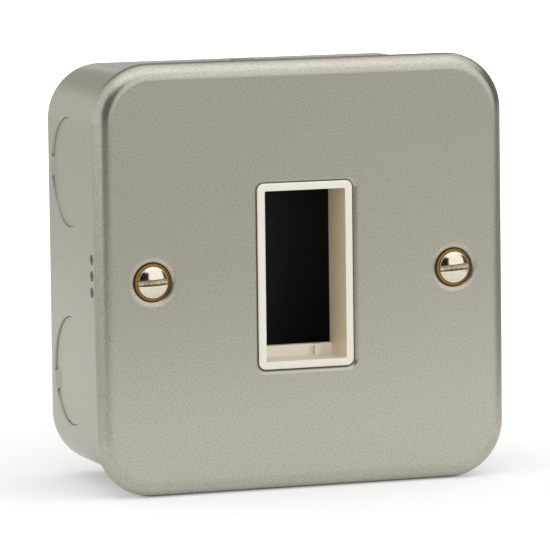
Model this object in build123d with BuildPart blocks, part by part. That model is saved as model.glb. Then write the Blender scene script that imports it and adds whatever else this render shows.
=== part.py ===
from build123d import *
import os
from math import cos, radians, sin, sqrt

# One-gang metal-clad back box with its front plate, in millimetres.
# +X is right, +Z is up, the front faces -Y and the wall is the plane y = 0.
# The origin is the centre of the back face.

# Driving dimensions: box shell
total_depth = 39.2
box_width = 77.5
box_height = 77.5
box_corner_radius = 10.5
box_sheet = 1.2
back_bend_radius = 2.0

# Driving dimensions: conduit knockouts
knockout_diameter = 20.9
knockout_pitch = 38.1
knockout_from_wall = 14.4
knockout_set = 0.35
knockout_roll = 0.25
shear_width = 0.15
shear_depth = 0.4
bridge_width = 3.6
bridge_length = 3.0
bridge_lean = 9.1
bridge_turn = 6.9
relief_diameter = 0.6
relief_depth = 0.9

# Driving dimensions: wall fixings and weld marks
wall_slot_pitch = 50.8
wall_slot_width = 4.8
wall_slot_length = 9.6
weld_mark_count = 3
weld_mark_diameter = 2.0
weld_mark_pitch = 3.1
weld_mark_depth = 0.9
weld_mark_taper = 8.0
weld_line = 7.7
weld_mark_rise = 0.5

# Driving dimensions: front plate
plate_sheet = 1.2
plate_corner_radius = 11.0
plate_bend_radius = 3.0
rim_depth = 3.2
rim_clearance = 0.8
rim_seat_clearance = 0.05
dimple_diameter = 9.6
dimple_depth = 1.8

# Driving dimensions: plate screws, set in from the box's sides to 60.3 mm centres
screw_inset = 8.6
thread_diameter = 3.5
thread_clearance = 0.05
plate_hole_clearance = 0.25
head_diameter = 7.3
head_set = 0.3
head_land = 0.15
head_clearance = 0.06
head_band = 0.65
head_band_rise = 0.25
head_dome = 0.9
screw_length = 12.5
screw_point = 0.6
slot_width = 1.2
slot_turns = {"left": 2.0, "right": 3.5}

# Driving dimensions: lugs
lug_width = 12.0
lug_thickness = 2.0
lug_leg = 11.6
lug_bend_radius = 2.6
lug_corner_radius = 3.0

# Driving dimensions: module frame
opening_width = 16.1
opening_height = 32.3
opening_corner_radius = 0.3
frame_depth = 9.4
frame_wall = 0.9
frame_corner_radius = 1.0
frame_clearance = 0.1
lip_width = 1.45
lip_proud = 0.5
lip_corner_radius = 1.35
lip_edge_radius = 0.3
lip_undercut = 0.15
hook_height = 5.0
hook_reach = 0.6
hook_length = 3.0
hook_clearance = 0.1
hook_pitch = 18.0
ledge_start = 7.8
ledge_height = 2.05
notch_offset = 3.9
notch_width = 0.9
notch_depth = 0.45
notch_top = 0.4
post_offset = 4.95
post_width = 1.2
post_proud = 0.3
end_relief = 0.4

# Driving dimensions: earth terminal
terminal_inset = 7.2
terminal_side = 7.0
terminal_height = 9.0
terminal_chamfer = 0.5
rivet_diameter = 3.4
rivet_head_diameter = 5.0
rivet_clearance = 0.05
rivet_recess = 0.1
wire_hole_diameter = 3.8
wire_hole_height = 4.2
clamp_diameter = 3.5
clamp_clearance = 0.05
clamp_tip_gap = 0.2
clamp_head_diameter = 5.6
clamp_head_height = 1.8
clamp_head_gap = 1.0
clamp_slot_width = 0.9
clamp_slot_depth = 0.9
clamp_edge = 0.3

# How far a cut runs past the face that it starts from
cut_over = 1.0

# The plate is sized from the box, its rim clearance and its sheet
rim_overhang = rim_clearance + plate_sheet
plate_width = box_width + 2 * rim_overhang
plate_height = box_height + 2 * rim_overhang
plate_inner_y = -(total_depth - plate_sheet)
plate_inner_bend = plate_bend_radius - plate_sheet

# The box's front edge meets the inside of the plate's bend
edge_reach = max(plate_inner_bend - rim_clearance, 0)
edge_setback = plate_inner_bend - sqrt(plate_inner_bend**2 - edge_reach**2)
box_depth = total_depth - plate_sheet - edge_setback - rim_seat_clearance

# Outer and inner faces of the box
side_x = box_width / 2
side_z = box_height / 2
inner_x = side_x - box_sheet
inner_z = side_z - box_sheet

# The lugs carry the feet of the plate's dimples
screw_x = side_x - screw_inset
lug_front_y = plate_inner_y + dimple_depth
lug_back_y = lug_front_y + lug_leg

# Radii shared by the screws and their holes
thread_radius = thread_diameter / 2
head_radius = head_diameter / 2
hole_radius = thread_radius + plate_hole_clearance
seat_radius = head_radius + head_clearance
dimple_radius = dimple_diameter / 2

# The frame's body passes through the plate and its lip lies on the plate
body_width = opening_width + 2 * frame_wall
body_height = opening_height + 2 * frame_wall
lip_front_y = -(total_depth + lip_proud)
frame_back_y = lip_front_y + frame_depth
ledge_y = lip_front_y + ledge_start
ledge_length = frame_depth - ledge_start
ledge_z = -(opening_height - ledge_height) / 2
relief_start = post_offset + post_width / 2
relief_width = opening_width / 2 - relief_start
relief_x = relief_start + relief_width / 2
hook_front_y = plate_inner_y + hook_clearance
hook_back_y = hook_front_y + hook_length
hook_root_x = (body_width - frame_wall) / 2
hook_tip_x = body_width / 2 + hook_reach

# The earth terminal stands on the back of the box, in its lower left corner
terminal_x = -(inner_x - terminal_inset)
terminal_z = -(inner_z - terminal_inset)
terminal_front_y = -(box_sheet + terminal_height)
wire_hole_y = -(box_sheet + wire_hole_height)
rivet_radius = rivet_diameter / 2
rivet_head_radius = rivet_head_diameter / 2
clamp_radius = clamp_diameter / 2
clamp_head_y = terminal_front_y - clamp_head_gap
clamp_tip_y = wire_hole_y - wire_hole_diameter / 2 - clamp_tip_gap


def knockout_planes():
    """Outward planes at the knockouts, with the side of the uncut bridge as +X."""
    planes = [Plane((0, 0, 0), x_dir=(1, 0, 0), z_dir=(0, 1, 0))]
    for side in (-1, 1):
        planes.append(Plane((0, -knockout_from_wall, side * side_z), (0, 1, 0), (0, 0, side)))
        for half in (-1, 1):
            angle = radians(half * bridge_lean - bridge_turn)
            place = (side * side_x, -knockout_from_wall, half * knockout_pitch / 2)
            planes.append(Plane(place, (0, cos(angle), sin(angle)), (side, 0, 0)))
    return planes


def screw_plane(x):
    """Radius against depth from the plate's face, for a screw's profiles."""
    return Plane((x, -total_depth, 0), x_dir=(1, 0, 0), z_dir=(0, 0, 1))


def screw_axis(x):
    return Axis((x, 0, 0), (0, 1, 0))


os.makedirs("parts", exist_ok=True)

# Knockout cut: a recess with rolled edge and a sheared ring, outwards is +Z
shear_bottom = -(knockout_set + shear_depth)
roll_radius = knockout_diameter / 2 + knockout_roll
with BuildPart() as knockout_cut:
    with BuildSketch(Plane.XZ):
        with BuildLine():
            Polyline((0, -knockout_set), (0, cut_over), (roll_radius, cut_over), (roll_radius, 0))
            RadiusArc((roll_radius, 0), (roll_radius - knockout_roll, -knockout_roll), -knockout_roll)
            Polyline(
                (roll_radius - knockout_roll, -knockout_roll),
                (roll_radius - knockout_roll, shear_bottom),
                (roll_radius - knockout_roll - shear_width, shear_bottom),
                (roll_radius - knockout_roll - shear_width, -knockout_set),
                (0, -knockout_set),
            )
        make_face()
    revolve(axis=Axis.Z)

# Knockout bridge: the uncut sheet that slopes down to the disc on its +X side
with BuildPart() as knockout_bridge:
    with BuildSketch(Plane.XZ):
        with BuildLine():
            Polyline(
                (roll_radius, 0),
                (roll_radius, shear_bottom),
                (roll_radius - bridge_length, shear_bottom),
                (roll_radius - bridge_length, -knockout_set),
                close=True,
            )
        make_face()
    extrude(amount=bridge_width / 2, both=True)

# Knockout relief: a small round pocket at each end of the sheared ring
shear_radius = roll_radius - knockout_roll - shear_width / 2
relief_across = (bridge_width + relief_diameter) / 2
relief_along = sqrt(shear_radius**2 - relief_across**2)
with BuildPart() as knockout_relief:
    with BuildSketch(Plane.XY):
        with Locations((relief_along, relief_across), (relief_along, -relief_across)):
            Circle(relief_diameter / 2)
    extrude(amount=-relief_depth)

# Knockout disc: it stands into the box by as much as it is set in
with BuildPart() as knockout_disc:
    with BuildSketch(Plane.XY.offset(-box_sheet)):
        Circle(roll_radius - knockout_roll - shear_width)
    extrude(amount=-knockout_set)

# Back box: one pressed shell with its knockouts, wall slots and weld marks
with BuildPart() as back_box:
    with BuildSketch(Plane.XZ):
        RectangleRounded(box_width, box_height, box_corner_radius)
    extrude(amount=box_depth)
    fillet(back_box.faces().sort_by(Axis.Y)[-1].edges(), back_bend_radius)
    offset(amount=-box_sheet, openings=back_box.faces().sort_by(Axis.Y)[0])
    with Locations(*knockout_planes()):
        add(knockout_disc.part)
        add(knockout_cut.part, mode=Mode.SUBTRACT)
        add(knockout_bridge.part)
        add(knockout_relief.part, mode=Mode.SUBTRACT)
    with BuildSketch(Plane.XZ):
        with GridLocations(wall_slot_pitch, 0, 2, 1):
            SlotOverall(wall_slot_length, wall_slot_width)
        with GridLocations(0, wall_slot_pitch, 1, 2):
            SlotOverall(wall_slot_length, wall_slot_width, rotation=90)
    extrude(amount=box_sheet, mode=Mode.SUBTRACT)
    with BuildSketch(Plane((terminal_x, 0, terminal_z), x_dir=(1, 0, 0), z_dir=(0, 0, 1))):
        with BuildLine():
            Polyline(
                (0, 0),
                (rivet_head_radius + rivet_clearance, 0),
                (rivet_radius + rivet_clearance, rivet_radius - rivet_head_radius),
                (rivet_radius + rivet_clearance, -box_sheet),
                (0, -box_sheet),
                close=True,
            )
        make_face()
    revolve(axis=Axis((terminal_x, 0, terminal_z), (0, 1, 0)), mode=Mode.SUBTRACT)
    for side in (-1, 1):
        weld_middle = (side * side_x, lug_front_y + weld_line, weld_mark_rise)
        with BuildSketch(Plane(weld_middle, (0, 1, 0), (side, 0, 0))):
            with GridLocations(0, weld_mark_pitch, 1, weld_mark_count):
                Circle(weld_mark_diameter / 2)
        extrude(amount=-weld_mark_depth, taper=weld_mark_taper, mode=Mode.SUBTRACT)
back_box.part.label = "back_box"
export_step(back_box.part, "parts/back_box.step")

# Lugs: bent brackets welded to the inside of the box
for name, side in (("left", -1), ("right", 1)):
    wall = side * inner_x
    face = wall - side * lug_thickness
    tip = side * (screw_x - lug_width / 2)
    with BuildPart() as lug:
        with BuildSketch() as lug_section:
            with BuildLine():
                Polyline(
                    (tip, lug_front_y),
                    (wall, lug_front_y),
                    (wall, lug_back_y),
                    (face, lug_back_y),
                    (face, lug_front_y + lug_thickness),
                    (tip, lug_front_y + lug_thickness),
                    close=True,
                )
            make_face()
            outer_bend = lug_section.vertices().sort_by_distance((wall, lug_front_y))[0]
            fillet(outer_bend, lug_bend_radius)
            inner_bend = lug_section.vertices().sort_by_distance((face, lug_front_y + lug_thickness))[0]
            fillet(inner_bend, lug_bend_radius - lug_thickness)
        extrude(amount=lug_width / 2, both=True)
        fillet(lug.edges().filter_by(Axis.Y).sort_by_distance((0, lug_front_y, 0))[:2], lug_corner_radius)
        fillet(lug.edges().filter_by(Axis.X).group_by(Axis.Y)[-1], lug_corner_radius)
        with BuildSketch(Plane.XZ.offset(-lug_front_y)):
            with Locations((side * screw_x, 0)):
                Circle(thread_radius + thread_clearance)
        extrude(amount=-lug_thickness, mode=Mode.SUBTRACT)
    lug.part.label = f"lug_{name}"
    export_step(lug.part, f"parts/lug_{name}.step")

# Front plate: a pressed sheet with a turned rim and two formed countersinks
seat_depth = head_set + seat_radius - hole_radius
foot_depth = plate_sheet + dimple_depth
with BuildPart() as front_plate:
    with BuildSketch(Plane.XZ.offset(total_depth - rim_depth)):
        RectangleRounded(plate_width, plate_height, plate_corner_radius)
    extrude(amount=rim_depth)
    fillet(front_plate.faces().sort_by(Axis.Y)[0].edges(), plate_bend_radius)
    offset(amount=-plate_sheet, openings=front_plate.faces().sort_by(Axis.Y)[-1])
    for side in (-1, 1):
        with BuildSketch(screw_plane(side * screw_x)):
            with BuildLine():
                Polyline(
                    (0, plate_sheet),
                    (dimple_radius, plate_sheet),
                    (dimple_radius - dimple_depth, foot_depth),
                    (0, foot_depth),
                    close=True,
                )
            make_face()
        revolve(axis=screw_axis(side * screw_x))
        with BuildSketch(screw_plane(side * screw_x)):
            with BuildLine():
                TangentArc((dimple_radius, 0), (seat_radius, head_set), tangent=(-1, 0))
                Polyline(
                    (seat_radius, head_set),
                    (hole_radius, seat_depth),
                    (hole_radius, foot_depth),
                    (0, foot_depth),
                    (0, 0),
                    (dimple_radius, 0),
                )
            make_face()
        revolve(axis=screw_axis(side * screw_x), mode=Mode.SUBTRACT)
    with BuildSketch(Plane.XZ.offset(total_depth)):
        RectangleRounded(
            body_width + 2 * frame_clearance,
            body_height + 2 * frame_clearance,
            frame_corner_radius + frame_clearance,
        )
    extrude(amount=-plate_sheet, mode=Mode.SUBTRACT)
front_plate.part.label = "front_plate"
export_step(front_plate.part, "parts/front_plate.step")

# Plate screws: raised countersunk heads with a slot
band_depth = head_set - head_land - head_band_rise
disc_radius = head_radius - head_band
for name, side in (("left", -1), ("right", 1)):
    with BuildPart() as screw:
        with BuildSketch(screw_plane(side * screw_x)):
            with BuildLine():
                TangentArc((0, band_depth - head_dome), (disc_radius, band_depth), tangent=(1, 0))
                Polyline(
                    (disc_radius, band_depth),
                    (head_radius, head_set - head_land),
                    (head_radius, head_set),
                    (thread_radius, head_set + head_radius - thread_radius),
                    (thread_radius, screw_length - screw_point),
                    (thread_radius - screw_point, screw_length),
                    (0, screw_length),
                    (0, band_depth - head_dome),
                )
            make_face()
        revolve(axis=screw_axis(side * screw_x))
        with BuildSketch(Plane.XZ.offset(total_depth - band_depth)):
            with Locations((side * screw_x, 0)):
                Rectangle(head_diameter, slot_width, rotation=slot_turns[name])
        extrude(amount=head_dome, mode=Mode.SUBTRACT)
    screw.part.label = f"screw_{name}"
    export_step(screw.part, f"parts/screw_{name}.step")

# Module frame: a moulded tube with a lip, snap hooks and a ledge for a module
with BuildPart() as module_frame:
    with BuildSketch(Plane.XZ.offset(total_depth)):
        RectangleRounded(
            opening_width + 2 * lip_width,
            opening_height + 2 * lip_width,
            lip_corner_radius,
        )
    extrude(amount=lip_proud)
    fillet(module_frame.faces().sort_by(Axis.Y)[0].edges(), lip_edge_radius)
    chamfer(module_frame.faces().sort_by(Axis.Y)[-1].edges(), lip_undercut)
    with BuildSketch(Plane.XZ.offset(total_depth)):
        RectangleRounded(body_width, body_height, frame_corner_radius)
    extrude(amount=-(frame_depth - lip_proud))
    with BuildSketch(Plane.XZ.offset(-frame_back_y)):
        RectangleRounded(opening_width, opening_height, opening_corner_radius)
    extrude(amount=frame_depth, mode=Mode.SUBTRACT)
    with BuildSketch(Plane.XZ.offset(-frame_back_y)):
        with Locations((0, ledge_z)):
            Rectangle(opening_width, ledge_height)
    extrude(amount=ledge_length)
    with BuildSketch(Plane.XZ.offset(-ledge_y)):
        with Locations((notch_offset, ledge_z - notch_top)):
            Rectangle(notch_width, ledge_height)
    extrude(amount=-notch_depth, mode=Mode.SUBTRACT)
    with BuildSketch(Plane.XZ.offset(-ledge_y)):
        with Locations((relief_x, ledge_z)):
            Rectangle(relief_width, ledge_height)
    extrude(amount=-end_relief, mode=Mode.SUBTRACT)
    with BuildSketch(Plane.XZ.offset(-ledge_y)):
        with Locations((post_offset, ledge_z)):
            Rectangle(post_width, ledge_height)
    extrude(amount=post_proud)
    for side in (-1, 1):
        for half in (-1, 1):
            with BuildSketch(Plane.XY.offset(half * hook_pitch / 2)):
                with BuildLine():
                    Polyline(
                        (side * hook_root_x, hook_front_y),
                        (side * hook_tip_x, hook_front_y),
                        (side * body_width / 2, hook_back_y),
                        (side * hook_root_x, hook_back_y),
                        close=True,
                    )
                make_face()
            extrude(amount=hook_height / 2, both=True)
module_frame.part.label = "module_frame"
export_step(module_frame.part, "parts/module_frame.step")

# Earth terminal: a brass block with a wire hole, riveted through the back
terminal_axis = Axis((terminal_x, 0, terminal_z), (0, 1, 0))
with BuildPart() as earth_terminal:
    with BuildSketch(Plane.XZ.offset(box_sheet)):
        with Locations((terminal_x, terminal_z)):
            Rectangle(terminal_side, terminal_side)
    extrude(amount=terminal_height)
    chamfer(earth_terminal.faces().sort_by(Axis.Y)[0].edges(), terminal_chamfer)
    with BuildSketch(Plane((terminal_x, 0, terminal_z), x_dir=(1, 0, 0), z_dir=(0, 0, 1))):
        with BuildLine():
            Polyline(
                (0, -rivet_recess),
                (rivet_head_radius - rivet_recess, -rivet_recess),
                (rivet_radius, rivet_radius - rivet_head_radius),
                (rivet_radius, -box_sheet),
                (0, -box_sheet),
                close=True,
            )
        make_face()
    revolve(axis=terminal_axis)
    with BuildSketch(Plane.YZ.offset(terminal_x)):
        with Locations((wire_hole_y, terminal_z)):
            Circle(wire_hole_diameter / 2)
    extrude(amount=terminal_side / 2, both=True, mode=Mode.SUBTRACT)
    with BuildSketch(Plane.XZ.offset(-wire_hole_y)):
        with Locations((terminal_x, terminal_z)):
            Circle(clamp_radius + clamp_clearance)
    extrude(amount=wire_hole_y - terminal_front_y, mode=Mode.SUBTRACT)
earth_terminal.part.label = "earth_terminal"
export_step(earth_terminal.part, "parts/earth_terminal.step")

# Earth screw: it clamps the wire from the front of the block
with BuildPart() as earth_screw:
    with BuildSketch(Plane.XZ.offset(-clamp_tip_y)):
        with Locations((terminal_x, terminal_z)):
            Circle(clamp_radius)
    extrude(amount=clamp_tip_y - clamp_head_y)
    chamfer(earth_screw.faces().sort_by(Axis.Y)[-1].edges(), clamp_edge)
    with BuildSketch(Plane.XZ.offset(-clamp_head_y)):
        with Locations((terminal_x, terminal_z)):
            Circle(clamp_head_diameter / 2)
    extrude(amount=clamp_head_height)
    fillet(earth_screw.faces().sort_by(Axis.Y)[0].edges(), clamp_edge)
    with BuildSketch(Plane.XZ.offset(-clamp_head_y + clamp_head_height - clamp_slot_depth)):
        with Locations((terminal_x, terminal_z)):
            Rectangle(clamp_head_diameter, clamp_slot_width)
    extrude(amount=clamp_slot_depth, mode=Mode.SUBTRACT)
earth_screw.part.label = "earth_screw"
export_step(earth_screw.part, "parts/earth_screw.step")
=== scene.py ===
from math import cos, radians, sin, tan

import bpy
from mathutils import Matrix, Vector


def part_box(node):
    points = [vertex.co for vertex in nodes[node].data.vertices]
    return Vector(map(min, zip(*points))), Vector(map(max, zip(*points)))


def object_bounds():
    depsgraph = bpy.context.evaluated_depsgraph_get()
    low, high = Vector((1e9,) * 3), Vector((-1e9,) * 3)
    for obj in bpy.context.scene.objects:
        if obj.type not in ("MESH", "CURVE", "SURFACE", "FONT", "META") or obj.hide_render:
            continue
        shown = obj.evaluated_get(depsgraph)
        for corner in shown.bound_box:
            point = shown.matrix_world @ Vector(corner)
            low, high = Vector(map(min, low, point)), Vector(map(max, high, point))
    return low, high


# Metal back box with its front plate: finishes, studio and camera, in metres
# +X is right, +Z is up, the front faces -Y and the wall is the plane y = 0

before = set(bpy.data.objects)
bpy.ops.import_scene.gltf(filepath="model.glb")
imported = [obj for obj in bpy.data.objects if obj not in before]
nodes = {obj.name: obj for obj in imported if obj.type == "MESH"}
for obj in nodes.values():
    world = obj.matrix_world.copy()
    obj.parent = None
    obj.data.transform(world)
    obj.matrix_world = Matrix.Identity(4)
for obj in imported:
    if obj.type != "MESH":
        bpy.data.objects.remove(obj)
cad_low, cad_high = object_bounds()

MM = 0.001
BLACK = (0.0, 0.0, 0.0)
WHITE = (1.0, 1.0, 1.0)

# Where the camera stands, turned and lifted in degrees from straight ahead of the plate
CAMERA_AZIMUTH = -19.41
CAMERA_ELEVATION = 6.33
CAMERA_ROLL = -0.72
CAMERA_DISTANCE = 968.58 * MM
CAMERA_ASIDE = 0.863 * MM
CAMERA_ABOVE = -2.0 * MM
CAMERA_LENS = 330.06
CAMERA_SENSOR = 36.0
CAMERA_NEAREST = 0.01
CAMERA_FARTHEST = 20.0
TARGET_DEPTH = 19.6 * MM

# Colours are linear, and shades are the darkest and the lightest share of one
# A contrast is the two levels of noise at which those shades are reached
SOFT_CONTRAST = (0.3, 0.7)
SHARP_CONTRAST = (0.35, 0.65)
SOFT_DETAIL = 2.0
FINE_DETAIL = 3.0
NOISE_MIDDLE = 0.5

# A relief is the size of its bumps, their height, and the share of it that shows
# An openness is how open a place is where a groove's painted shade or light is still full, and where it
# has gone
OPENNESS_SAMPLES = 8

# Plate: speckled metallic paint, with painted shade where other pieces meet it
PLATE_PAINT = (0.448, 0.426, 0.362)
PLATE_METALLIC = 0.88
PLATE_ROUGHNESS = 0.29
PLATE_GRAIN = 0.35 * MM
PLATE_SHADES = (0.88, 1.12)
PLATE_RELIEF = (0.6 * MM, 0.01 * MM, 0.15)
PLATE_PAINTED_SHADE = (0.120, 0.100, 0.065)
PLATE_SHADE_REACH = 0.6 * MM
PLATE_SHADE_OPENNESS = (0.55, 0.95)

# The plate's edge rolls down beside the frame's lip, over this width and by this much
LIP_CORNER = 1.35 * MM
ROLL_WIDTH = 0.9 * MM
ROLL_DEEP = 0.35 * MM
ROLL_RIGHT = 0.38 * MM
ROLL_DOWN = 0.22 * MM

# Box: smooth coated paint, with painted light beside a groove's walls to lift their shade
BOX_PAINT = (0.376, 0.348, 0.272)
BOX_METALLIC = 0.4
BOX_ROUGHNESS = 0.35
BOX_COAT = 0.35
BOX_COAT_ROUGHNESS = 0.06
BOX_GRAIN = 0.5 * MM
BOX_SHADES = (0.95, 1.05)
BOX_RELIEF = (2.0 * MM, 0.01 * MM, 0.1)
GROOVE_PAINTED_LIGHT = (0.640, 0.650, 0.590)
GROOVE_LIGHT_REACH = 0.8 * MM
GROOVE_LIGHT_OPENNESS = (0.2, 0.95)

# Painted shade: the box's inside is black, from this deep below its outer shape and rounded corners
INSIDE_PAINTED_SHADE = (0.085, 0.085, 0.085)
INSIDE_DEPTH = 0.8 * MM
BOX_CORNER = 10.5 * MM

# Frame: ivory plastic, and how deep red, green and blue light enter it in millimetres
IVORY = (0.874, 0.814, 0.714)
IVORY_ROUGHNESS = 0.35
IVORY_SUBSURFACE = 0.35
IVORY_DEPTH = (1.2, 0.95, 0.7)
IVORY_GRAIN = 6.0 * MM
IVORY_SHADES = (0.98, 1.02)
IVORY_RELIEF = (0.3 * MM, 0.01 * MM, 0.1)

# Painted shade, darker and warmer, on the opening's two side walls: faces turned to the side by this
# much, this near to the middle
IVORY_PAINTED_SHADE = (0.830, 0.710, 0.510)
SIDE_TURNED = 0.7
OPENING_HALF = 8.3 * MM

# Plain metals of the lugs, the earth terminal and its screw
ZINC = (0.600, 0.600, 0.580)
ZINC_ROUGHNESS = 0.45
BRASS = (0.720, 0.550, 0.270)
BRASS_ROUGHNESS = 0.3
METAL_GRAIN = 0.5 * MM
METAL_SHADES = (0.9, 1.05)
METAL_RELIEF = (0.4 * MM, 0.005 * MM, 0.2)

# Screws: bright nickel on the dome of the head
NICKEL = (0.690, 0.628, 0.522)
NICKEL_GRAIN = 0.7 * MM
NICKEL_SHADES = (0.94, 1.04)
NICKEL_RELIEF = (0.5 * MM, 0.004 * MM, 0.25)
DOME_ROUGHNESS = 0.13

# The nickel ends this far from a screw's middle, on a wavy line with a dull rim inside it
PLATING_EDGE = 3.02 * MM
PLATING_WAVE = 0.4 * MM
PLATING_WANDER = 0.06 * MM
RIM_WIDTH = 0.2 * MM
RIM_DULLER = 0.3

# Bare brass in a ring around the nickel, brightest at this share of its width, with painted shade at
# both edges and on the right
BARE_BRASS = (0.460, 0.290, 0.085)
PAINTED_SHADE_BROWN = (0.110, 0.065, 0.025)
RING_BRIGHTEST = 0.45
RING_OUTER_SHADE = 0.7
RING_DULLER = 0.18
RIGHT_SHADE_SHARE = 0.65

# Slots: how far they are turned in degrees, and how deep below the dome's top they start
SLOT_TURNS = {"screw_left": 2.0, "screw_right": 3.5}
SLOT_BELOW = 0.85 * MM
SLOT_HALF = 0.6 * MM
SLOT_NICKEL = (0.640, 0.545, 0.385)
SLOT_DULLER = 0.45
SLOT_SCORE = 0.22 * MM
SLOT_STRETCH = 3.0
SLOT_WANDER = 1.2
SLOT_REACH = 0.6 * MM
SLOT_OPENNESS = (0.45, 0.8)

# A slot's shares of its colour from its lower side to its upper: painted shade at both edges and over
# the upper half, with a painted highlight line between
SLOT_LIGHT_AND_SHADE = (
    (0.0, 0.35), (0.18, 0.45), (0.34, 1.25), (0.46, 1.1), (0.6, 0.68), (0.85, 0.62), (1.0, 0.35),
)

# Floor: the camera sees it grow lighter between these distances from the middle
FLOOR_SIZE = 8.0
FLOOR_WHITE = (0.680, 0.680, 0.680)
FLOOR_NEAR = 0.08
FLOOR_FAR = 0.50
FLOOR_GLOW_NEAR = 0.32
FLOOR_GLOW_FAR = 1.0

# The white world's strength as soft light
WORLD_DIFFUSE = 0.91

# Softboxes: azimuth and elevation in degrees, width and height in metres, power in watts
SOFTBOX_DISTANCE = 1.2
SOFTBOXES = {
    "key": (26, 44, 1.5, 1.7, 2.7),
    "over_front": (12, 74, 1.4, 1.4, 2.2),
    "left_high": (-60, 60, 0.6, 0.6, 0.35),
}

# A low strip light that brightens the foot of the plate
STRIP_PLACE = (0.03, -0.24, -0.02)
STRIP_SIZE = (0.40, 0.06)
STRIP_POWER = 0.02

# Flags: azimuth, elevation, width and height in degrees, and grey level
FLAG_DISTANCE = 1.1
FLAG_FADE = 0.12
FLAG_WEAVE = 5.0 * MM
FLAG_SHADES = (0.9, 1.0)
FLAGS = {
    "flag_camera": (-33, 14, 56, 50, 0.02),
    "flag_right": (84, 12, 54, 46, 0.08),
    "flag_far_right": (134, 12, 46, 46, 0.08),
    "flag_behind_low": (164, 2, 56, 26, 0.56),
    "flag_behind": (180, 36, 56, 44, 0.20),
    "flag_side": (-160, 5, 34, 26, 0.82),
    "flag_behind_left": (-138, 30, 30, 40, 0.80),
}

# Flags on the floor: middle, width and length in metres, and grey level
FLOOR_FLAG_RISE = 1.0 * MM
FLOOR_FLAGS = {
    "flag_floor_front": (0.1, -0.75, 1.6, 1.2, 0.12),
    "flag_floor_front_left": (-0.33, -0.40, 0.5, 0.55, 0.05),
    "flag_floor_right": (0.55, 0.1, 0.9, 0.9, 0.36),
    "flag_floor_left": (-0.56, 0.8, 1.0, 2.2, 0.66),
}


def rgba(colour, share=1.0):
    return (*[c * share for c in colour], 1.0)


def set_values(node, **values):
    """Sets a node's sockets, named with _ for a space, and its own settings."""
    for name, value in values.items():
        socket = name.replace("_", " ")
        if socket in node.inputs:
            node.inputs[socket].default_value = value
        else:
            setattr(node, name, value)


def add_node(tree, kind, **values):
    node = tree.nodes.new(kind)
    set_values(node, **values)
    return node


def feed(tree, socket, value):
    """Gives a socket a constant, or a link where the value is another node's output."""
    if isinstance(value, bpy.types.NodeSocket):
        tree.links.new(value, socket)
    else:
        socket.default_value = value


def new_material(name, colour, **sockets):
    """A material whose shader has these constants, and the tree and shader to build on."""
    material = bpy.data.materials.new(name)
    material.use_nodes = True
    shader = material.node_tree.nodes["Principled BSDF"]
    set_values(shader, Base_Color=rgba(colour), **sockets)
    return material, material.node_tree, shader


def coordinates(tree, kind="Object"):
    """X, Y and Z in metres from the object's origin, or of another kind of coordinate."""
    place = add_node(tree, "ShaderNodeTexCoord")
    split = add_node(tree, "ShaderNodeSeparateXYZ")
    tree.links.new(place.outputs[kind], split.inputs[0])
    return split.outputs


def calculate(tree, operation, *values):
    """One math node on values that are numbers or other nodes' outputs."""
    made = add_node(tree, "ShaderNodeMath", operation=operation)
    for socket, value in zip(made.inputs, values):
        feed(tree, socket, value)
    return made.outputs[0]


def hypotenuse(tree, first, second):
    squares = [calculate(tree, "MULTIPLY", side, side) for side in (first, second)]
    return calculate(tree, "SQRT", calculate(tree, "ADD", *squares))


def rescale(tree, value, start, end, low=0.0, high=1.0, **settings):
    """The value with the range from start to end moved to the range from low to high."""
    made = add_node(
        tree, "ShaderNodeMapRange", From_Min=start, From_Max=end, To_Min=low, To_Max=high, **settings)
    tree.links.new(value, made.inputs["Value"])
    return made.outputs["Result"]


def ramp(tree, factor, *stops):
    """A colour ramp through stops in rising order, each a place from 0 to 1 and a colour."""
    made = add_node(tree, "ShaderNodeValToRGB")
    elements = made.color_ramp.elements
    while len(elements) < len(stops):
        elements.new(0.5)
    for element, (place, colour) in zip(elements, stops):
        element.position = place
        element.color = colour
    tree.links.new(factor, made.inputs["Fac"])
    return made.outputs["Color"]


def mix(tree, factor, first, second):
    """The first colour where the factor is 0, and the second where it is 1."""
    made = add_node(tree, "ShaderNodeMix", data_type="RGBA")
    tree.links.new(factor, made.inputs["Factor"])
    for socket, value in zip((s for s in made.inputs if s.type == "RGBA"), (first, second)):
        feed(tree, socket, value)
    return next(s for s in made.outputs if s.type == "RGBA")


def noise(tree, size, detail=SOFT_DETAIL, stretch=1.0):
    """Noise with features of about this size in metres, longer along X by the stretch."""
    place = add_node(tree, "ShaderNodeTexCoord")
    longer = add_node(tree, "ShaderNodeVectorMath", operation="MULTIPLY")
    longer.inputs[1].default_value = (1.0 / stretch, 1.0, 1.0)
    tree.links.new(place.outputs["Object"], longer.inputs[0])
    made = add_node(tree, "ShaderNodeTexNoise", Scale=1.0 / size, Detail=detail)
    tree.links.new(longer.outputs[0], made.inputs["Vector"])
    return made.outputs["Fac"]


def mottled(tree, colour, size, shades, contrast=SOFT_CONTRAST, detail=SOFT_DETAIL):
    """The colour in patches of about this size, from its darkest shade to its lightest."""
    stops = [(level, rgba(colour, share)) for level, share in zip(contrast, shades)]
    return ramp(tree, noise(tree, size, detail), *stops)


def openness(tree, reach, between, alone=True):
    """White on open faces and black in grooves, from the walls that stand within this reach."""
    made = add_node(
        tree, "ShaderNodeAmbientOcclusion", Distance=reach, samples=OPENNESS_SAMPLES, only_local=alone)
    closed, opened = between
    return ramp(tree, made.outputs["AO"], (closed, rgba(BLACK)), (opened, rgba(WHITE)))


def bump(tree, shader, height, distance, strength):
    """Bumps the shader's surface, on top of any bump that it already has."""
    made = add_node(tree, "ShaderNodeBump", Strength=strength, Distance=distance)
    tree.links.new(height, made.inputs["Height"])
    for link in shader.inputs["Normal"].links:
        tree.links.new(link.from_socket, made.inputs["Normal"])
    tree.links.new(made.outputs["Normal"], shader.inputs["Normal"])


def roughen(tree, shader, size, height, strength):
    bump(tree, shader, noise(tree, size), height, strength)


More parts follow.
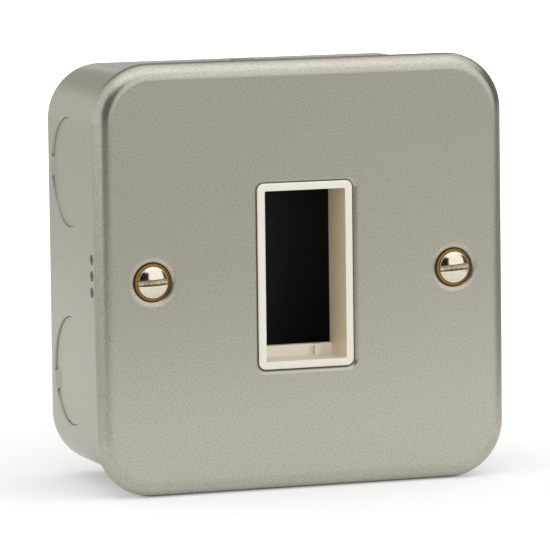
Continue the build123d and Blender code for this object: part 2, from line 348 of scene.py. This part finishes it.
def from_middle(tree, low, high):
    """How far to the right of a box's middle, and how far above it."""
    x, _, z = coordinates(tree)
    return [calculate(tree, "SUBTRACT", along, (low[k] + high[k]) / 2) for along, k in ((x, 0), (z, 2))]


def from_core(tree, low, high, corner):
    """Distance in XZ from a rounded rectangle's core, which is less than its corner radius inside it."""
    sides = []
    for offset, k in zip(from_middle(tree, low, high), (0, 2)):
        away = calculate(tree, "ABSOLUTE", offset)
        past = calculate(tree, "SUBTRACT", away, (high[k] - low[k]) / 2 - corner)
        sides.append(calculate(tree, "MAXIMUM", past, 0.0))
    return hypotenuse(tree, *sides)


def rolled_edge(tree):
    """The height in metres of the plate's face where its pressed edge rolls down beside the lip."""
    shift = Vector((ROLL_RIGHT, 0, -ROLL_DOWN))
    low, high = (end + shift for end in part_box("module_frame"))
    away = from_core(tree, low, high, LIP_CORNER)
    share = rescale(tree, away, LIP_CORNER + ROLL_WIDTH, LIP_CORNER, clamp=False)
    past = calculate(tree, "MAXIMUM", share, 0.0)
    return calculate(tree, "MULTIPLY", calculate(tree, "MULTIPLY", past, past), -ROLL_DEEP)


def plate_paint():
    material, tree, shader = new_material(
        "plate_paint", PLATE_PAINT, Metallic=PLATE_METALLIC, Roughness=PLATE_ROUGHNESS)
    colour = mottled(tree, PLATE_PAINT, PLATE_GRAIN, PLATE_SHADES, SHARP_CONTRAST, FINE_DETAIL)
    # Painted shade: darker where the frame and screws stand close to the plate
    unshaded = openness(tree, PLATE_SHADE_REACH, PLATE_SHADE_OPENNESS, alone=False)
    colour = mix(tree, unshaded, rgba(PLATE_PAINTED_SHADE), colour)
    tree.links.new(colour, shader.inputs["Base Color"])
    bump(tree, shader, rolled_edge(tree), distance=1.0, strength=1.0)
    roughen(tree, shader, *PLATE_RELIEF)
    return material


def inside_shell(tree):
    """1 on the box's inner faces and 0 on its outer ones, from the depth below the outer shape."""
    low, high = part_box("back_box")
    away = from_core(tree, low, high, BOX_CORNER)
    within_sides = calculate(tree, "LESS_THAN", away, BOX_CORNER - INSIDE_DEPTH)
    ahead_of_back = calculate(tree, "LESS_THAN", coordinates(tree)[1], high[1] - INSIDE_DEPTH)
    return calculate(tree, "MULTIPLY", within_sides, ahead_of_back)


def box_paint():
    material, tree, shader = new_material(
        "box_paint", BOX_PAINT, Metallic=BOX_METALLIC, Roughness=BOX_ROUGHNESS,
        Coat_Weight=BOX_COAT, Coat_Roughness=BOX_COAT_ROUGHNESS)
    colour = mottled(tree, BOX_PAINT, BOX_GRAIN, BOX_SHADES, SHARP_CONTRAST, FINE_DETAIL)
    # Painted light: lighter beside the grooves' walls, to lift the shade in them
    clear = openness(tree, GROOVE_LIGHT_REACH, GROOVE_LIGHT_OPENNESS)
    colour = mix(tree, clear, rgba(GROOVE_PAINTED_LIGHT), colour)
    # Painted shade: black on the box's inner faces
    colour = mix(tree, inside_shell(tree), colour, rgba(INSIDE_PAINTED_SHADE))
    tree.links.new(colour, shader.inputs["Base Color"])
    roughen(tree, shader, *BOX_RELIEF)
    return material


def opening_sides(tree):
    """1 on the two side walls of the frame's opening, which get a darker, warmer painted shade."""
    sideways = calculate(tree, "ABSOLUTE", coordinates(tree, "Normal")[0])
    turned = calculate(tree, "GREATER_THAN", sideways, SIDE_TURNED)
    aside = calculate(tree, "ABSOLUTE", coordinates(tree)[0])
    near = calculate(tree, "LESS_THAN", aside, OPENING_HALF)
    return calculate(tree, "MULTIPLY", turned, near)


def ivory_plastic():
    material, tree, shader = new_material(
        "ivory_plastic", IVORY, Roughness=IVORY_ROUGHNESS,
        Subsurface_Weight=IVORY_SUBSURFACE, Subsurface_Scale=MM, Subsurface_Radius=IVORY_DEPTH)
    colour = mottled(tree, IVORY, IVORY_GRAIN, IVORY_SHADES)
    # Painted shade on the opening's two side walls
    colour = mix(tree, opening_sides(tree), colour, rgba(IVORY_PAINTED_SHADE))
    tree.links.new(colour, shader.inputs["Base Color"])
    roughen(tree, shader, *IVORY_RELIEF)
    return material


def plain_metal(name, colour, roughness):
    material, tree, shader = new_material(name, colour, Metallic=1.0, Roughness=roughness)
    tree.links.new(mottled(tree, colour, METAL_GRAIN, METAL_SHADES), shader.inputs["Base Color"])
    roughen(tree, shader, *METAL_RELIEF)
    return material


def slot_floor(tree, to_right, above, turn):
    """Scored nickel in the slot, with a painted highlight along it and painted shade at its edges."""
    scored = noise(tree, SLOT_SCORE, FINE_DETAIL, SLOT_STRETCH)
    across = calculate(tree, "MULTIPLY_ADD", to_right, -tan(radians(turn)), above)
    share = rescale(tree, across, -SLOT_HALF, SLOT_HALF)
    wander = calculate(tree, "MULTIPLY", calculate(tree, "SUBTRACT", scored, NOISE_MIDDLE), SLOT_WANDER)
    stops = [(place, rgba(SLOT_NICKEL, shade)) for place, shade in SLOT_LIGHT_AND_SHADE]
    bands = ramp(tree, calculate(tree, "ADD", share, wander), *stops)
    # Painted shade at the slot's edges, where its walls stand close
    return mix(tree, openness(tree, SLOT_REACH, SLOT_OPENNESS), rgba(PAINTED_SHADE_BROWN), bands)


def brass_ring(tree, to_right, away, outer):
    """Bare brass from the nickel's edge to the head's, with painted shade at both edges and towards the
    right.
    """
    share = rescale(tree, away, PLATING_EDGE, outer)
    bright = (RING_BRIGHTEST, rgba(BARE_BRASS))
    brass = ramp(tree, share, (0.0, rgba(PAINTED_SHADE_BROWN)), bright, (1.0, rgba(PAINTED_SHADE_BROWN, RING_OUTER_SHADE)))
    # Painted shade: darker towards the right of the ring
    shaded_right = rescale(tree, to_right, 0.0, PLATING_EDGE, high=RIGHT_SHADE_SHARE)
    return mix(tree, shaded_right, brass, rgba(PAINTED_SHADE_BROWN))


def screw_plating(name):
    """Bright nickel on the dome, dull in the slot, with the brass bare in the ring around it."""
    low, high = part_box(name)
    material, tree, shader = new_material(f"{name}_plating", NICKEL, Metallic=1.0)
    to_right, above = from_middle(tree, low, high)
    even = hypotenuse(tree, to_right, above)
    away = calculate(tree, "MULTIPLY_ADD", noise(tree, PLATING_WAVE), PLATING_WANDER, even)
    in_slot = calculate(tree, "GREATER_THAN", coordinates(tree)[1], low[1] + SLOT_BELOW)
    on_ring = calculate(tree, "GREATER_THAN", away, PLATING_EDGE)
    on_rim = calculate(tree, "COMPARE", away, PLATING_EDGE - RIM_WIDTH / 2, RIM_WIDTH / 2)

    dome = mottled(tree, NICKEL, NICKEL_GRAIN, NICKEL_SHADES)
    slot = slot_floor(tree, to_right, above, SLOT_TURNS[name])
    ring = brass_ring(tree, to_right, away, outer=(high[0] - low[0]) / 2)
    colour = mix(tree, on_ring, mix(tree, in_slot, dome, slot), ring)
    tree.links.new(colour, shader.inputs["Base Color"])

    dull = DOME_ROUGHNESS
    for there, duller in ((on_ring, RING_DULLER), (in_slot, SLOT_DULLER), (on_rim, RIM_DULLER)):
        dull = calculate(tree, "MULTIPLY_ADD", there, duller, dull)
    tree.links.new(dull, shader.inputs["Roughness"])
    roughen(tree, shader, *NICKEL_RELIEF)
    return material


def dress(names, material):
    for name in names:
        for slot in nodes[name].material_slots:
            slot.material = material


def seen_directly(tree):
    """1 for what the camera sees itself, in a reflection or through glass, and 0 for soft light."""
    path = add_node(tree, "ShaderNodeLightPath")
    mirrored = calculate(tree, "MAXIMUM", path.outputs["Is Camera Ray"], path.outputs["Is Glossy Ray"])
    return calculate(tree, "MAXIMUM", mirrored, path.outputs["Is Transmission Ray"])


def make_floor():
    bpy.ops.mesh.primitive_plane_add(size=FLOOR_SIZE, location=(0, 0, cad_low.z))
    floor = bpy.context.object
    floor.name = "floor"
    material, tree, shader = new_material(
        "floor_white", FLOOR_WHITE, Roughness=1.0, Specular_IOR_Level=0.0, Emission_Color=rgba(WHITE))
    x, y, _ = coordinates(tree)
    level = rescale(
        tree, hypotenuse(tree, x, y), FLOOR_NEAR, FLOOR_FAR, FLOOR_GLOW_NEAR, FLOOR_GLOW_FAR,
        interpolation_type="SMOOTHSTEP")
    glow = calculate(tree, "MULTIPLY", seen_directly(tree), level)
    tree.links.new(glow, shader.inputs["Emission Strength"])
    floor.data.materials.append(material)


def make_world():
    world = bpy.data.worlds.new("studio")
    world.use_nodes = True
    tree = world.node_tree
    shown = tree.nodes["Background"]
    shown.inputs["Color"].default_value = rgba(WHITE)
    level = rescale(tree, seen_directly(tree), 0.0, 1.0, low=WORLD_DIFFUSE)
    tree.links.new(level, shown.inputs["Strength"])
    bpy.context.scene.world = world


def towards(azimuth, elevation, distance=1.0):
    """A place seen from the middle of the plate, with azimuth 0 straight ahead of it."""
    a, e = radians(azimuth), radians(elevation)
    return Vector((sin(a) * cos(e), -cos(a) * cos(e), sin(e))) * distance


def make_lamp(name, place, aim, size, power):
    light = bpy.data.lights.new(name, "AREA")
    light.shape = "RECTANGLE"
    light.size, light.size_y = size
    light.energy = power
    lamp = bpy.data.objects.new(name, light)
    lamp.location = place
    lamp.rotation_euler = (Vector(aim) - Vector(place)).to_track_quat("-Z", "Y").to_euler()
    lamp.visible_camera = False
    bpy.context.scene.collection.objects.link(lamp)


def make_lamps():
    for name, (azimuth, elevation, width, height, power) in SOFTBOXES.items():
        place = towards(azimuth, elevation, SOFTBOX_DISTANCE)
        make_lamp(name, place, (0, 0, 0), (width, height), power)
    foot_of_plate = (STRIP_PLACE[0], cad_low.y, cad_low.z)
    make_lamp("strip", STRIP_PLACE, foot_of_plate, STRIP_SIZE, STRIP_POWER)


def flag_cloth(name, width, height, grey):
    """Cloth that shows this level of grey whatever light falls on it, and fades out at its edges."""
    material, tree, shader = new_material(
        name, BLACK, Roughness=1.0, Specular_IOR_Level=0.0, Emission_Strength=grey)
    weave = mottled(tree, WHITE, FLAG_WEAVE, FLAG_SHADES)
    tree.links.new(weave, shader.inputs["Emission Color"])
    margins = []
    for along, size in zip(coordinates(tree, "Generated"), (width, height)):
        past_middle = calculate(tree, "ABSOLUTE", calculate(tree, "SUBTRACT", along, 0.5))
        margins.append(calculate(tree, "MULTIPLY_ADD", past_middle, -size, size / 2))
    nearest = calculate(tree, "MINIMUM", *margins)
    fade = rescale(tree, nearest, 0.0, FLAG_FADE, interpolation_type="SMOOTHSTEP")
    tree.links.new(fade, shader.inputs["Alpha"])
    return material


def make_flag(name, centre, turn, width, height, grey):
    """A grey cloth that only reflections see, for the dark parts of a real studio."""
    bpy.ops.mesh.primitive_plane_add(size=1.0, location=centre, rotation=turn)
    flag = bpy.context.object
    flag.name = name
    flag.scale = (width, height, 1.0)
    flag.data.materials.append(flag_cloth(name, width, height, grey))
    flag.visible_camera = False
    flag.visible_diffuse = False
    flag.visible_shadow = False


def make_flags():
    for name, (azimuth, elevation, wide, tall, grey) in FLAGS.items():
        centre = towards(azimuth, elevation, FLAG_DISTANCE)
        turn = centre.to_track_quat("Z", "Y").to_euler()
        width, height = (2 * FLAG_DISTANCE * tan(radians(angle / 2)) for angle in (wide, tall))
        make_flag(name, centre, turn, width, height, grey)
    for name, (x, y, width, length, grey) in FLOOR_FLAGS.items():
        centre = Vector((x, y, cad_low.z + FLOOR_FLAG_RISE))
        make_flag(name, centre, (0, 0, 0), width, length, grey)


def make_camera():
    azimuth, roll = radians(CAMERA_AZIMUTH), radians(CAMERA_ROLL)
    back = towards(CAMERA_AZIMUTH, CAMERA_ELEVATION)
    level = Vector((cos(azimuth), sin(azimuth), 0))
    upright = back.cross(level)
    right = level * cos(roll) + upright * sin(roll)
    up = upright * cos(roll) - level * sin(roll)
    target = Vector((0, -TARGET_DEPTH, 0))
    place = target + back * CAMERA_DISTANCE + right * CAMERA_ASIDE + up * CAMERA_ABOVE
    data = bpy.data.cameras.new("camera")
    data.lens = CAMERA_LENS
    data.sensor_width = CAMERA_SENSOR
    data.clip_start = CAMERA_NEAREST
    data.clip_end = CAMERA_FARTHEST
    camera = bpy.data.objects.new("camera", data)
    camera.matrix_world = Matrix.Translation(place) @ Matrix((right, up, back)).transposed().to_4x4()
    bpy.context.scene.collection.objects.link(camera)
    bpy.context.scene.camera = camera


dress(["front_plate"], plate_paint())
dress(["back_box"], box_paint())
dress(["module_frame"], ivory_plastic())
for screw in ("screw_left", "screw_right"):
    dress([screw], screw_plating(screw))
dress(["lug_left", "lug_right"], plain_metal("zinc_plate", ZINC, ZINC_ROUGHNESS))
dress(["earth_terminal", "earth_screw"], plain_metal("brass", BRASS, BRASS_ROUGHNESS))
make_floor()
make_world()
make_lamps()
make_flags()
make_camera()
bpy.context.scene.view_settings.view_transform = "Standard"
